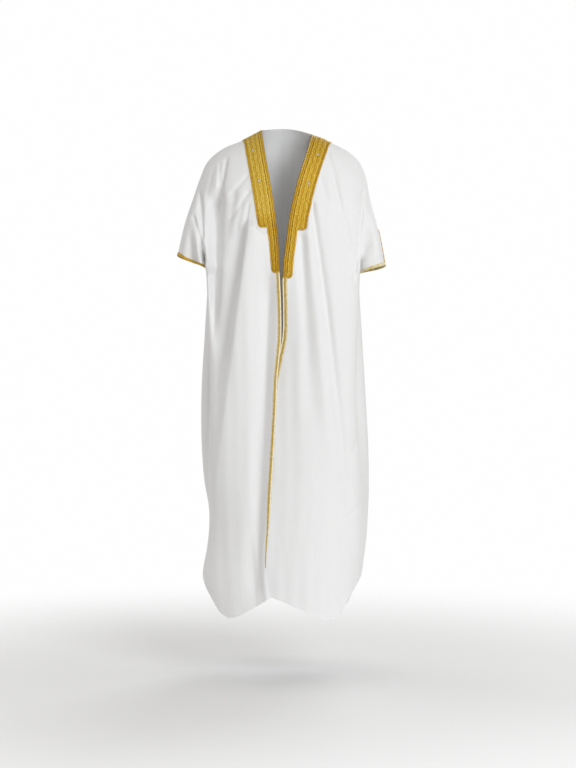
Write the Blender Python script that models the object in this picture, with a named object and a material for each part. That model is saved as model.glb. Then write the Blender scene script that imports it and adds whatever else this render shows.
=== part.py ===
"""An open-fronted robe of light cloth, as it hangs when it is worn, with no wearer inside it.

The robe is one wide cut: a back panel and two front panels that meet on a line along the
shoulders and down the outside of each short sleeve. A slit at the top of each side is the
sleeve opening; below it the side seam runs down to a hem that is rounded up at the sides.
A wide embroidered band runs round the neck and down both fronts.

Metres, +Z up. The wearer faces -Y, and the wearer's left is +X. The origin lies between the
shoulders, level with the side of the neck, where the wearer carries the robe.
"""

import math

import bpy
import numpy as np

# ---------------------------------------------------------------- driving sizes
CLOTH = 0.002            # thickness of the panels
SEAM_GAP = 0.0003        # between two pieces that are sewn together
NECK_HALF = 0.062        # half the width of the neck opening, on the shoulder line
NAPE_BACK = 0.055        # how far the nape of the neckline lies behind the shoulder line
NAPE_RISE = 0.020        # and how far above it
NAPE_TILT = math.radians(35)
BAND_WIDE = 0.058        # on the shoulder line; it looks a little narrower over the chest
BAND_NARROW = 0.029
BAND_DRAW = 0.88         # how much of its width shows there
BAND_LIFT = 0.0010       # from a panel's face to the back of what is sewn on it
BAND_THICK = 0.0018
BAND_CORNER = 0.013      # how far the outer corner of a band's end is cut off
BAND_END = {"right": (-0.282, -0.410), "left": (-0.291, -0.425)}
EDGING = 0.009           # width of the gold edging below the band and round the sleeves
EDGING_THICK = 0.0014
NAPE_LIFT = 0.0012       # more lift for the band round the nape, where the panel bends most
EDGING_END = -1.180      # the edging of the front edges stops here, above the hem
STRIP_LONG = 0.105       # the embroidered strip on the outer fold of each sleeve
STRIP_HALF = 0.013
BUST_Z = -0.30           # where the fronts leave the chest and start to hang
ARM_DROP = {"right": 0.055, "left": 0.040}   # from the sleeve's corner to the slit's foot
ARM_BULGE = 0.072        # how far the sleeve stands out in front of and behind the arm
OVERLAP_OUT = 0.014      # the right front's edge stands forward, the left one's lies back
EDGE_STAND = 0.009       # how much of its width the right edge loses by standing on edge
SQUARE = 2.5             # exponent of the section: 2 is an ellipse, more is squarer
TUCK_TURN = math.radians(88)
TUCK_SPREAD = math.radians(20)
SIDE = {"right": -1, "left": 1}

# The shoulder line from the neck to the sleeve's corner: how far out, and how high.
SHOULDER = {
    "right": {"out": (0.062, 0.116, 0.176, 0.216, 0.239, 0.2565, 0.279, 0.302),
              "z": (0.006, -0.022, -0.048, -0.083, -0.134, -0.186, -0.255, -0.352)},
    "left": {"out": (0.082, 0.110, 0.142, 0.181, 0.218, 0.2335, 0.248, 0.268, 0.292),
             "z": (-0.007, -0.016, -0.031, -0.050, -0.083, -0.117, -0.186, -0.264, -0.381)},
}

# Level sections of the hanging robe: depths in front and behind, half widths of the front and
# back halves on each side, and how far the cloth is drawn in under the arm.
SECTIONS = {
    "z": (-0.30, -0.40, -0.56, -0.72, -0.90, -1.00, -1.08, -1.18, -1.26, -1.38),
    "front": (0.128, 0.134, 0.138, 0.140, 0.146, 0.150, 0.156, 0.162, 0.166, 0.168),
    "back": (0.128, 0.130, 0.132, 0.136, 0.142, 0.147, 0.152, 0.158, 0.164, 0.168),
    "right_front": (0.274, 0.274, 0.262, 0.250, 0.237, 0.224, 0.216, 0.220, 0.229, 0.210),
    "left_front": (0.274, 0.274, 0.262, 0.250, 0.245, 0.244, 0.240, 0.236, 0.224, 0.212),
    "right_back": (0.280, 0.286, 0.294, 0.296, 0.270, 0.246, 0.223, 0.220, 0.229, 0.210),
    "left_back": (0.280, 0.286, 0.294, 0.296, 0.281, 0.267, 0.256, 0.242, 0.224, 0.212),
    "tuck": (0.058, 0.086, 0.086, 0.074, 0.040, 0.020, 0.010, 0.004, 0.000, 0.000),
}

# Where the two front edges run: x at each height. The right front lies over the left one.
EDGE = {
    "right": {"z": (0.006, -0.056, -0.160, -0.256, -0.329, -0.385, -0.430, -0.500, -0.598,
                    -0.645, -0.700, -0.797, -1.000, -1.096, -1.234, -1.306),
              "x": (-0.0620, -0.0524, -0.0390, -0.0275, -0.0180, -0.0125, -0.0085, -0.0055,
                    -0.0055, -0.0097, -0.0150, -0.0190, -0.0310, -0.0369, -0.0460, -0.0365)},
    "left": {"z": (-0.007, -0.057, -0.160, -0.256, -0.329, -0.385, -0.425, -0.504, -0.590,
                   -0.650, -0.720, -0.850, -1.100, -1.309),
             "x": (0.0820, 0.0700, 0.0480, 0.0287, 0.0100, 0.0000, -0.0020, -0.0010, -0.0030,
                   -0.0150, -0.0280, -0.0420, -0.0620, -0.0700)},
}

# The hem's height by the turn round the robe, in degrees from the middle of the front.
HEM = {
    "right_front": {"turn": (0, 12, 26, 51, 57, 63, 70, 80, 90),
                    "z": (-1.300, -1.309, -1.336, -1.367, -1.356, -1.330, -1.301, -1.268, -1.255)},
    "left_front": {"turn": (-25, -12, 0, 21, 40, 50, 60, 75, 90),
                   "z": (-1.296, -1.309, -1.322, -1.348, -1.374, -1.362, -1.314, -1.268, -1.252)},
    "right_back": {"turn": (90, 110, 125, 140, 160, 180),
                   "z": (-1.255, -1.290, -1.340, -1.362, -1.350, -1.338)},
    "left_back": {"turn": (90, 105, 118, 128, 145, 160, 180),
                  "z": (-1.252, -1.290, -1.358, -1.392, -1.386, -1.360, -1.338)},
}

# Folds of the fronts. A fold runs from a top to a bottom point (x, z), bows sideways by bow,
# is this wide to each side of its middle there, and stands this far out (or lies this far in).
FOLDS_FRONT = (
    # side, x_top, z_top, x_bottom, z_bottom, bow, wide_top, wide_bottom, out
    ("right", -0.166, -0.100, -0.184, -0.520, -0.004, 0.012, 0.018, -0.013),
    ("right", -0.088, -0.210, -0.172, -0.700, -0.010, 0.015, 0.026, -0.015),
    ("right", -0.070, -0.360, -0.105, -0.960, -0.012, 0.022, 0.034, 0.009),
    ("right", -0.030, -0.460, -0.066, -1.150, -0.002, 0.011, 0.013, -0.010),
    ("right", -0.205, -0.260, -0.200, -0.480, 0.000, 0.014, 0.018, 0.007),
    ("right", -0.120, -0.900, -0.135, -1.240, 0.000, 0.030, 0.040, -0.008),
    ("left", 0.062, -0.320, 0.070, -0.740, 0.002, 0.012, 0.016, -0.009),
    ("left", 0.084, -0.240, 0.172, -0.980, 0.012, 0.011, 0.016, 0.007),
    ("left", 0.102, -0.260, 0.192, -0.960, 0.012, 0.012, 0.020, -0.008),
    ("left", 0.138, -0.100, 0.176, -0.260, 0.004, 0.012, 0.018, -0.006),
)
FOLDS_BACK = (
    ("right", -0.148, -0.150, -0.176, -1.060, -0.006, 0.016, 0.024, -0.012),
    ("right", -0.096, -0.260, -0.120, -1.240, 0.004, 0.022, 0.030, 0.009),
    ("right", -0.040, -0.190, -0.060, -1.180, 0.005, 0.015, 0.024, -0.010),
    ("left", 0.012, -0.300, 0.004, -1.300, 0.004, 0.022, 0.028, 0.007),
    ("left", 0.058, -0.230, 0.052, -1.000, -0.006, 0.014, 0.022, -0.010),
    ("left", 0.130, -0.120, 0.142, -1.220, 0.008, 0.016, 0.026, -0.012),
)
FADE = 0.14              # over which a fold fades out past its ends

# The panels' grids: along the shoulder line from the neck, across the nape, and down. Down is
# 0 on the shoulder line, 1 where the cloth starts to hang and 2 at the hem.
BAND_COLUMNS = 4
SLEEVE_COLUMNS = 17
NAPE_COLUMNS = 5
ROWS = (0, 0.07, 0.15, 0.24, 0.34, 0.45, 0.57, 0.70, 0.83, 0.93, 1, 1.05, 1.10, 1.16, 1.22, 1.29,
        1.36, 1.43, 1.50, 1.57, 1.64, 1.71, 1.78, 1.85, 1.91, 1.96, 2)


def smooth(low, high, x):
    """0 at low, 1 at high, an S curve between, and level beyond both."""
    t = np.clip((np.asarray(x, float) - low) / (high - low), 0, 1)
    return t * t * (3 - 2 * t)


def curve(xs, ys, x):
    """A smooth curve through the points (xs, ys), read at x: a cubic on each stretch."""
    xs, ys = np.asarray(xs, float), np.asarray(ys, float)
    if xs[0] > xs[-1]:
        xs, ys = xs[::-1], ys[::-1]
    run = np.diff(xs)
    slope = np.diff(ys) / run
    tangent = np.empty_like(ys)
    tangent[1:-1] = (slope[:-1] * run[1:] + slope[1:] * run[:-1]) / (run[:-1] + run[1:])
    tangent[0], tangent[-1] = slope[0], slope[-1]
    x = np.clip(np.asarray(x, float), xs[0], xs[-1])
    i = np.clip(np.searchsorted(xs, x) - 1, 0, len(run) - 1)
    h = run[i]
    t = (x - xs[i]) / h
    return (ys[i] * (1 + 2 * t) * (1 - t) ** 2 + tangent[i] * h * t * (1 - t) ** 2
            + ys[i + 1] * t * t * (3 - 2 * t) - tangent[i + 1] * h * t * t * (1 - t))


def shoulder_line(side):
    """Distance along the shoulder line from the neck, how far out and how high, densely."""
    out, z = np.array(SHOULDER[side]["out"]), np.array(SHOULDER[side]["z"])
    at = np.concatenate([[0], np.cumsum(np.hypot(np.diff(out), np.diff(z)))])
    fine = np.linspace(0, at[-1], 300)
    out, z = curve(at, out, fine), curve(at, z, fine)
    arc = np.concatenate([[0], np.cumsum(np.hypot(np.diff(out), np.diff(z)))])
    return arc, out, z


SLEEVE = {side: shoulder_line(side)[0][-1] for side in SIDE}


def section(turn, z, side):
    """Distance from the axis to the hanging cloth at a height and a turn from the front: a
    squared ellipse, less the tuck under the arm."""
    z = np.clip(z, SECTIONS["z"][-1], SECTIONS["z"][0])
    at = {k: curve(SECTIONS["z"], SECTIONS[k], z)
          for k in ("front", "back", side + "_front", side + "_back", "tuck")}
    across, along = np.sin(turn), np.cos(turn)
    depth = np.where(along > 0, at["front"], at["back"])
    to_back = smooth(math.radians(78), math.radians(102), turn)
    half = at[side + "_front"] * (1 - to_back) + at[side + "_back"] * to_back
    r = ((np.abs(across) / half) ** SQUARE + (np.abs(along) / depth) ** SQUARE) ** (-1 / SQUARE)
    return r - at["tuck"] * np.exp(-(((turn - TUCK_TURN) / TUCK_SPREAD) ** 2))


def edge_out(z, side):
    """How far out a front edge lies at height z, towards its own side."""
    return SIDE[side] * curve(EDGE[side]["z"], EDGE[side]["x"], z)


def turn_of(s, z, side, face):
    """The turn round the robe at which the column s along the shoulder hangs. s runs from 0 at
    the neck to the sleeve's corner, and below 0 across the back of the neck."""
    if face == "back":
        return math.pi - (math.pi / 2) * (s + NECK_HALF) / (SLEEVE[side] + NECK_HALF)
    depth = curve(SECTIONS["z"], SECTIONS["front"], np.clip(z, -1.38, -0.30))
    edge = edge_out(np.minimum(z, BUST_Z), side)
    stand = EDGE_STAND * smooth(-0.30, -0.42, z) * (side == "right")
    width = BAND_DRAW * np.minimum(s, BAND_WIDE) - stand * smooth(0, BAND_NARROW, s)
    near = np.arctan2(edge + width, depth)
    g = np.clip((s - BAND_WIDE) / (SLEEVE[side] - BAND_WIDE), 0, 1)
    eased = g + 0.7 * g * (1 - g) ** 2
    rest = math.pi / 2 - np.arctan2(edge + BAND_DRAW * BAND_WIDE - stand, depth)
    return near + rest * eased


def hem_of(s, side, face):
    table = HEM[side + "_" + face]
    turn = turn_of(s, np.full_like(s, -1.30), side, face)
    return curve(table["turn"], table["z"], np.degrees(turn))


def panel_at(s, v, side, face):
    """Points of a panel's middle surface. v runs from 0 on the shoulder line, through 1 where
    the cloth starts to hang, to 2 at the hem.

    From 0 to 1 the cloth is wrapped over the body: a quarter of an ellipse from the shoulder
    line to the hanging section, pushed out round the arm. From 1 to 2 it follows the sections.
    """
    s, v = np.broadcast_arrays(np.asarray(s, float), np.asarray(v, float))
    arc, line_out, line_z = shoulder_line(side)
    share = np.clip(s / SLEEVE[side], 0, 1)
    nape = 1 - (1 + np.minimum(s, 0) / NECK_HALF) ** 2
    at_neck = line_out[0] * (1 + np.minimum(s, 0) / NECK_HALF)
    r_out = np.where(s < 0, at_neck, np.interp(s, arc, line_out))
    mid_z = (SHOULDER["right"]["z"][0] + SHOULDER["left"]["z"][0]) / 2
    r_z = np.interp(s, arc, line_z) + nape * (NAPE_RISE + mid_z - line_z[0])
    r_y = nape * NAPE_BACK
    hang_z = BUST_Z + (line_z[-1] - ARM_DROP[side] - BUST_Z) * smooth(0.45, 0.95, share)
    start = nape * NAPE_TILT
    phi = start + (math.pi / 2 - start) * np.clip(v, 0, 1)
    fall = (np.cos(start) - np.cos(phi)) / np.cos(start)
    reach = (np.sin(phi) - np.sin(start)) / (1 - np.sin(start))
    z = np.where(v < 1, r_z + (hang_z - r_z) * fall,
                 hang_z + (hem_of(s, side, face) - hang_z) * (v - 1))
    turn = turn_of(s, z, side, face)
    r = section(turn, z, side)
    h_out, h_y = r * np.sin(turn), -r * np.cos(turn)
    ease = reach ** 2
    out = r_out * (1 - ease) + h_out * ease
    if face == "front":
        straight = line_out[0] * (1 - ease) + edge_out(np.minimum(z, BUST_Z), side) * ease
        out = out + (edge_out(z, side) - straight) * (1 - smooth(BAND_WIDE, 0.24, s))
    round_arm = ARM_BULGE * smooth(0.5, 0.95, share) * 3.1 * np.sin(phi) * np.cos(phi) ** 3
    y = r_y + (h_y - r_y) * reach + round_arm * (-1 if face == "front" else 1)
    if face == "front":
        if side == "right":
            y = y - OVERLAP_OUT * np.exp(-((s / 0.030) ** 2)) * smooth(-0.30, -0.46, z)
        else:
            y = y + OVERLAP_OUT * np.exp(-((s / 0.090) ** 2)) * smooth(-0.42, -0.64, z)
    return np.stack([SIDE[side] * out, y, z], axis=-1)


def folds_at(p, face):
    """How far the folds push the cloth out at points p of the unfolded surface."""
    x, z = p[..., 0], p[..., 2]
    total = np.zeros_like(x)
    for _, x0, z0, x1, z1, bow, w0, w1, out in FOLDS_FRONT if face == "front" else FOLDS_BACK:
        t = (z0 - z) / (z0 - z1)
        inside = np.clip(t, 0, 1)
        middle = x0 + (x1 - x0) * t + bow * 4 * inside * (1 - inside)
        width = w0 + (w1 - w0) * inside
        past = np.maximum(-t, t - 1) * (z0 - z1)
        total += out * np.exp(-(((x - middle) / width) ** 2)) * (1 - smooth(0, FADE, past))
    return total


def unit(a):
    return a / np.linalg.norm(a, axis=-1, keepdims=True)


def facing(at, s, v, side, face):
    """Unit normals, outward, of a surface at(s, v), by small differences."""
    ds, dv = 5e-4, 1e-3
    low_s = np.maximum(s - ds, 0) if face == "front" else s - ds
    along = at(np.minimum(s + ds, SLEEVE[side]), v, side, face) - at(low_s, v, side, face)
    down = at(s, v + dv, side, face) - at(s, np.maximum(v - dv, 0), side, face)
    n = np.cross(down, along)
    return unit(n) * (SIDE[side] * (1 if face == "front" else -1))


def cloth_at(s, v, side, face):
    """Points of the folded middle surface."""
    s, v = np.broadcast_arrays(np.asarray(s, float), np.asarray(v, float))
    p = panel_at(s, v, side, face)
    n = facing(panel_at, s, v, side, face)
    clear_of_seams = smooth(0, 0.16, v) * (1 - smooth(0.86, 1.0, s / SLEEVE[side]))
    return p + n * (folds_at(p, face) * clear_of_seams)[..., None]


# ---------------------------------------------------------------- solids
def columns(side):
    """Where a front panel's columns cross the shoulder line, from the neck to the sleeve end."""
    band = np.linspace(0, BAND_WIDE, BAND_COLUMNS + 1)
    rest = np.linspace(BAND_WIDE, SLEEVE[side], SLEEVE_COLUMNS + 1)[1:]
    return np.concatenate([band, rest])


def corner_normals(p, outward):
    """Unit normals at the points of a grid: the mean of the triangles that meet there."""
    a, b, c, d = p[:-1, :-1], p[:-1, 1:], p[1:, 1:], p[1:, :-1]
    first, second = np.cross(b - a, c - a) * outward, np.cross(c - a, d - a) * outward
    n = np.zeros_like(p)
    n[:-1, :-1] += first + second
    n[:-1, 1:] += first
    n[1:, 1:] += first + second
    n[1:, :-1] += second
    return unit(n)


def draw_back(p, n, along, inside):
    """Border points moved half a seam gap into their own panel, square to the border."""
    into = unit(np.cross(n, along))
    into = into * np.sign(np.sum(into * (inside - p), axis=-1, keepdims=True))
    return p + into * SEAM_GAP / 2


def add_shell(name, inner, outer, keep, material, flip):
    """A closed solid between two grids of points, over the cells that are kept. Points that
    fall together are one point, so a cell can shrink to a triangle or to nothing."""
    flat = outer.reshape(-1, 3)
    _, first, index = np.unique(np.round(flat, 7), axis=0, return_index=True, return_inverse=True)
    index = index.reshape(outer.shape[:2])
    a, b = index[:-1, :-1][keep], index[:-1, 1:][keep]
    c, d = index[1:, 1:][keep], index[1:, :-1][keep]
    top = np.concatenate([np.stack([a, b, c], 1), np.stack([a, c, d], 1)])
    whole = (top[:, 0] != top[:, 1]) & (top[:, 1] != top[:, 2]) & (top[:, 2] != top[:, 0])
    top = top[whole][:, ::-1] if flip else top[whole]
    under = len(first)
    known = {(int(t[i]), int(t[i - 2])) for t in top for i in range(3)}
    rim = [(i, j) for i, j in sorted(known) if (j, i) not in known]
    sides = [(j, i, i + under) for i, j in rim] + [(j, i + under, j + under) for i, j in rim]
    faces = np.concatenate([top, top[:, ::-1] + under, np.array(sides)])
    points = np.concatenate([flat[first], inner.reshape(-1, 3)[first]])
    used, faces = np.unique(faces, return_inverse=True)
    mesh = bpy.data.meshes.new(name)
    mesh.from_pydata(points[used].tolist(), [], faces.reshape(-1, 3).tolist())
    mesh.materials.append(material)
    mesh.update()
    bpy.context.scene.collection.objects.link(bpy.data.objects.new(name, mesh))


def material(name, colour, roughness, metallic=0.0):
    made = bpy.data.materials.new(name)
    made.use_nodes = True
    shader = made.node_tree.nodes["Principled BSDF"]
    shader.inputs["Base Color"].default_value = (*colour, 1)
    shader.inputs["Roughness"].default_value = roughness
    shader.inputs["Metallic"].default_value = metallic
    return made


def add_panel(name, p, n, cloth, flip):
    keep = np.ones((p.shape[0] - 1, p.shape[1] - 1), bool)
    add_shell(name, p - n * CLOTH / 2, p + n * CLOTH / 2, keep, cloth, flip)


def add_trim(name, p, n, keep, gold, flip, thick=BAND_THICK):
    low = CLOTH / 2 + BAND_LIFT
    add_shell(name, p + n * low, p + n * (low + thick), keep, gold, flip)


def laid_on(grid, s, v):
    """Points and normals on a panel's own facets, at s and v between its grid's lines."""
    s, v = np.broadcast_arrays(np.asarray(s, float), np.asarray(v, float))
    i = np.clip(np.searchsorted(grid["v"], v, side="right") - 1, 0, len(grid["v"]) - 2)
    j = np.clip(np.searchsorted(grid["s"], s, side="right") - 1, 0, len(grid["s"]) - 2)
    a = ((v - grid["v"][i]) / (grid["v"][i + 1] - grid["v"][i]))[..., None]
    b = ((s - grid["s"][j]) / (grid["s"][j + 1] - grid["s"][j]))[..., None]
    mixed = [(1 - a) * ((1 - b) * g[i, j] + b * g[i, j + 1])
             + a * ((1 - b) * g[i + 1, j] + b * g[i + 1, j + 1]) for g in (grid["p"], grid["n"])]
    return mixed[0], unit(mixed[1])


def row_at(z, s, side, face):
    """How far down a column the height z is reached."""
    v = np.linspace(0, 2, 801)
    heights = panel_at(np.full_like(v, s), v, side, face)[:, 2]
    return float(np.interp(-z, -heights, v))


def row_along(length, s, side, face):
    """How far down a column a length of cloth from its top reaches."""
    v = np.linspace(0, 1.2, 601)
    p = panel_at(np.full_like(v, s), v, side, face)
    arc = np.concatenate([[0], np.cumsum(np.linalg.norm(np.diff(p, axis=0), axis=1))])
    return float(np.interp(length, arc, v))


def row_off_neck(width, s, side):
    """How far down a column of the back is this far from the neckline, and a little more."""
    v = np.linspace(0, 0.8, 401)
    p = panel_at(np.full_like(v, s), v, side, "back")
    neck = panel_at(np.linspace(-NECK_HALF, 0, 80), np.zeros(80), side, "back")
    apart = np.linalg.norm(p[:, None] - neck[None], axis=2).min(1)
    return float(np.interp(width, apart, v)) + 0.012


for old in list(bpy.data.objects):
    bpy.data.objects.remove(old)
cloth = material("robe_cloth", (0.86, 0.86, 0.87), 0.62)
gold = material("gold_embroidery", (0.62, 0.40, 0.07), 0.42, 0.35)
cord = material("gold_edging", (0.80, 0.64, 0.28), 0.38, 0.35)

# Every panel's grid. The back has one for each side, from the middle out. Where two panels
# are sewn together, on the shoulder line and down the side seam, they share their normals.
nape = np.linspace(-NECK_HALF, 0, NAPE_COLUMNS + 1)[:-1]
rows = np.array(ROWS, float)
hangs = rows >= 1
grids = {}
for side in SIDE:
    for face in ("front", "back"):
        s = columns(side) if face == "front" else np.concatenate([nape, columns(side)])
        p = cloth_at(s[None, :], rows[:, None], side, face)
        n = corner_normals(p, SIDE[side] * (-1 if face == "front" else 1))
        grids[side, face] = {"s": s, "v": rows, "p": p, "n": n}
    front, back = grids[side, "front"], grids[side, "back"]
    shoulder = unit(front["n"][0] + back["n"][0, NAPE_COLUMNS:])
    seam = unit(front["n"][hangs, -1] + back["n"][hangs, -1])
    for grid, first in ((front, 0), (back, NAPE_COLUMNS)):
        grid["n"][0, first:] = shoulder
        grid["n"][hangs, -1] = seam
        top, edge = grid["p"][0, first:].copy(), grid["p"][hangs, -1].copy()
        under, beside = grid["p"][1, first:].copy(), grid["p"][hangs, -2].copy()
        grid["p"][0, first:] = draw_back(top, shoulder, np.gradient(top, axis=0), under)
        grid["p"][hangs, -1] = draw_back(edge, seam, np.gradient(edge, axis=0), beside)
middle = unit(grids["right", "back"]["n"][:, 0] + grids["left", "back"]["n"][:, 0])
for side in SIDE:
    grids[side, "back"]["n"][:, 0] = middle

# The two fronts, each from its front edge to the sleeve opening and side seam.
for side in SIDE:
    grid = grids[side, "front"]
    add_panel("front_" + side, grid["p"], grid["n"], cloth, flip=side == "left")

# The back, from one sleeve opening round the nape to the other.
right, left = grids["right", "back"], grids["left", "back"]
p = np.concatenate([right["p"][:, ::-1], left["p"][:, 1:]], axis=1)
n = np.concatenate([right["n"][:, ::-1], left["n"][:, 1:]], axis=1)
add_panel("back", p, n, cloth, flip=False)

# The band down each front: a wide stretch, then a narrow one, each with its outer corner cut.
for side in SIDE:
    s = np.linspace(0, BAND_WIDE, BAND_COLUMNS + 1)
    narrow = BAND_COLUMNS // 2
    wide_end = row_at(BAND_END[side][0], 0, side, "front")
    end = row_at(BAND_END[side][1], 0, side, "front")
    per_metre = (end - wide_end) / (BAND_END[side][0] - BAND_END[side][1])
    upper = [v for v in ROWS if v < wide_end - 0.04]
    lower = [v for v in ROWS if wide_end + 0.02 < v < end - 0.02]
    down = np.array(upper + [wide_end] + lower + [end])[:, None] + np.zeros_like(s)[None, :]
    down[len(upper), -1] -= BAND_CORNER * per_metre
    down[-1, narrow] -= BAND_CORNER * per_metre
    keep = np.ones((down.shape[0] - 1, BAND_COLUMNS), bool)
    keep[len(upper):, narrow:] = False
    p, n = laid_on(grids[side, "front"], s[None, :], down)
    add_trim("band_" + side, p, n, keep, gold, flip=side == "left")

# The band round the back of the neck, as wide as the others where it meets them.
halves = []
for side in SIDE:
    s = np.concatenate([nape, np.linspace(0, BAND_WIDE, BAND_COLUMNS + 1)])
    ends = np.array([row_off_neck(BAND_WIDE, a, side) for a in s])
    down = np.minimum(np.array(ROWS[:8], float)[:, None], ends[None, :])
    p, n = laid_on(grids[side, "back"], s[None, :], down)
    lift = NAPE_LIFT * (1 + np.clip(s / BAND_WIDE, 0, 1))
    halves.append((p + n * lift[None, :, None], n))
p = np.concatenate([halves[0][0][:, ::-1], halves[1][0][:, 1:]], axis=1)
n = np.concatenate([halves[0][1][:, ::-1], halves[1][1][:, 1:]], axis=1)
add_trim("band_back", p, n, np.ones((7, p.shape[1] - 1), bool), gold, flip=False)

# The edging of each front edge, from just below the band nearly to the hem.
for side in SIDE:
    top = row_at(BAND_END[side][1], 0, side, "front") + 0.0006
    end = row_at(EDGING_END, 0, side, "front")
    down = np.array([top] + [v for v in ROWS if top + 0.02 < v < end - 0.02] + [end])[:, None]
    p, n = laid_on(grids[side, "front"], np.array([0, EDGING])[None, :], down)
    keep = np.ones((len(down) - 1, 1), bool)
    add_trim("edging_" + side, p, n, keep, cord, flip=side == "left", thick=EDGING_THICK)

# The edging round each sleeve opening, from the foot of the slit over the sleeve's corner.
for side in SIDE:
    s = np.array([SLEEVE[side] - EDGING, SLEEVE[side]])[None, :]
    down = np.array([v for v in ROWS if v < 0.8])[:, None]
    fp, fn = laid_on(grids[side, "front"], s, down)
    bp, bn = laid_on(grids[side, "back"], s, down)
    p = np.concatenate([fp[:0:-1], (fp[:1] + bp[:1]) / 2, bp[1:]])
    n = np.concatenate([fn[:0:-1], fn[:1], bn[1:]])
    keep = np.ones((len(p) - 1, 1), bool)
    add_trim("sleeve_edging_" + side, p, n, keep, cord, flip=side == "right", thick=EDGING_THICK)

# The embroidered strip along the outer fold of each sleeve.
for side in SIDE:
    start, stop = SLEEVE[side] - STRIP_LONG, SLEEVE[side] - EDGING - 0.0006
    inner = [a for a in columns(side) if start + 0.004 < a < stop - 0.004]
    s = np.array([start] + inner + [stop])
    half = {face: np.array([row_along(STRIP_HALF, a, side, face) for a in s])
            for face in ("front", "back")}
    fp, fn = laid_on(grids[side, "front"], s, half["front"])
    bp, bn = laid_on(grids[side, "back"], s, half["back"])
    mp, mn = laid_on(grids[side, "front"], s, np.zeros_like(s))
    p, n = np.stack([fp, mp, bp]), np.stack([fn, mn, bn])
    keep = np.ones((2, len(s) - 1), bool)
    add_trim("sleeve_strip_" + side, p, n, keep, gold, flip=side == "right", thick=EDGING_THICK)
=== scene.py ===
"""The looks of a worn, open-fronted white robe with gold embroidered bands, with nobody in it.

Metres, +Z up. The wearer faces -Y, and the wearer's left is +X. The origin lies between the
shoulders, level with the side of the neck.
"""

import math

import bpy
import numpy as np
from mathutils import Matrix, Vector


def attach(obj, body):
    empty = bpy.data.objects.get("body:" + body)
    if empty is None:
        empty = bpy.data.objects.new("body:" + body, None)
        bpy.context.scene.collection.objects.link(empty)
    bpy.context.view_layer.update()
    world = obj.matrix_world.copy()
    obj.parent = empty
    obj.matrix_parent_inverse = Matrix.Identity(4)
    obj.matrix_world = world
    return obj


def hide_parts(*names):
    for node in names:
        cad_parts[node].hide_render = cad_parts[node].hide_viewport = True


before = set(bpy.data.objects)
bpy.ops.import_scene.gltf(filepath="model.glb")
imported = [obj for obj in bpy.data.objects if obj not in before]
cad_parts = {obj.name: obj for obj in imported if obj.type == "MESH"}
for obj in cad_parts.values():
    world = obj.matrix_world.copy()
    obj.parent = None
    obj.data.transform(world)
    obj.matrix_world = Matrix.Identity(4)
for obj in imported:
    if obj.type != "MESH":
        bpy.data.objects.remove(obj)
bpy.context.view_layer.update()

# ---------------------------------------------------------------- camera
# It looks level at the front, from 4.5 m away and about 0.8 m above the floor.
camera = bpy.data.objects.new("camera", bpy.data.cameras.new("camera"))
camera.data.lens = 73.6
camera.data.sensor_width = 36
camera.location = (0.0135, -4.5, -0.719)
camera.rotation_euler = (math.radians(90), 0, 0)
bpy.context.scene.collection.objects.link(camera)
bpy.context.scene.camera = camera

# ---------------------------------------------------------------- the two fronts
# Each front is one length of light white cloth. It is sewn to the back along the shoulder line
# and below the sleeve opening, and hangs free from the chest to a hem that rises at the side.
# The right front lies over the left one below the chest.
CLOTH_THICK = 0.0011
NECK_HALF = 0.062        # half the width of the neck opening, on the shoulder line
NAPE_BACK = 0.055        # how far the nape of the neckline lies behind the shoulder line
NAPE_RISE = 0.020        # and how far above it
NAPE_TILT = math.radians(35)
BAND_WIDE = 0.062        # the embroidered band on the shoulder line, and its narrow stretch
BAND_NARROW = 0.0320
BAND_DRAW = 0.88         # how much of the band's width shows over the chest
BUST_Z = -0.30           # where the fronts leave the chest and start to hang
ARM_DROP = {"right": 0.055, "left": 0.040}   # from the sleeve's corner to the slit's foot
ARM_BULGE = 0.072        # how far the sleeve stands out in front of and behind the arm
OVERLAP_OUT = 0.014      # the right front's edge stands forward, the left one's lies back
LAP = {                  # level to this far from the edge, then fading; from and full by height
    "right": {"level": 0.010, "fade": 0.026, "from": -0.30, "full": -0.46},
    "left": {"level": 0.0, "fade": 0.090, "from": -0.42, "full": -0.64},
}
EDGE_STAND = 0.006       # how much of its width the right edge loses by standing on edge
SQUARE = 2.5             # exponent of the section: 2 is an ellipse, more is squarer
TUCK_TURN = math.radians(88)
TUCK_SPREAD = {1: math.radians(15), -1: math.radians(20)}    # in front, behind
SIDE = {"right": -1, "left": 1}

# The shoulder line from the neck to the sleeve's corner: how far out, and how high.
SHOULDER = {
    "right": {"out": (0.062, 0.116, 0.176, 0.216, 0.239, 0.2565, 0.279, 0.302),
              "z": (0.006, -0.022, -0.048, -0.083, -0.134, -0.186, -0.255, -0.352)},
    "left": {"out": (0.082, 0.110, 0.142, 0.181, 0.218, 0.2335, 0.248, 0.268, 0.292),
             "z": (-0.007, -0.016, -0.031, -0.050, -0.083, -0.117, -0.186, -0.264, -0.381)},
}

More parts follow.
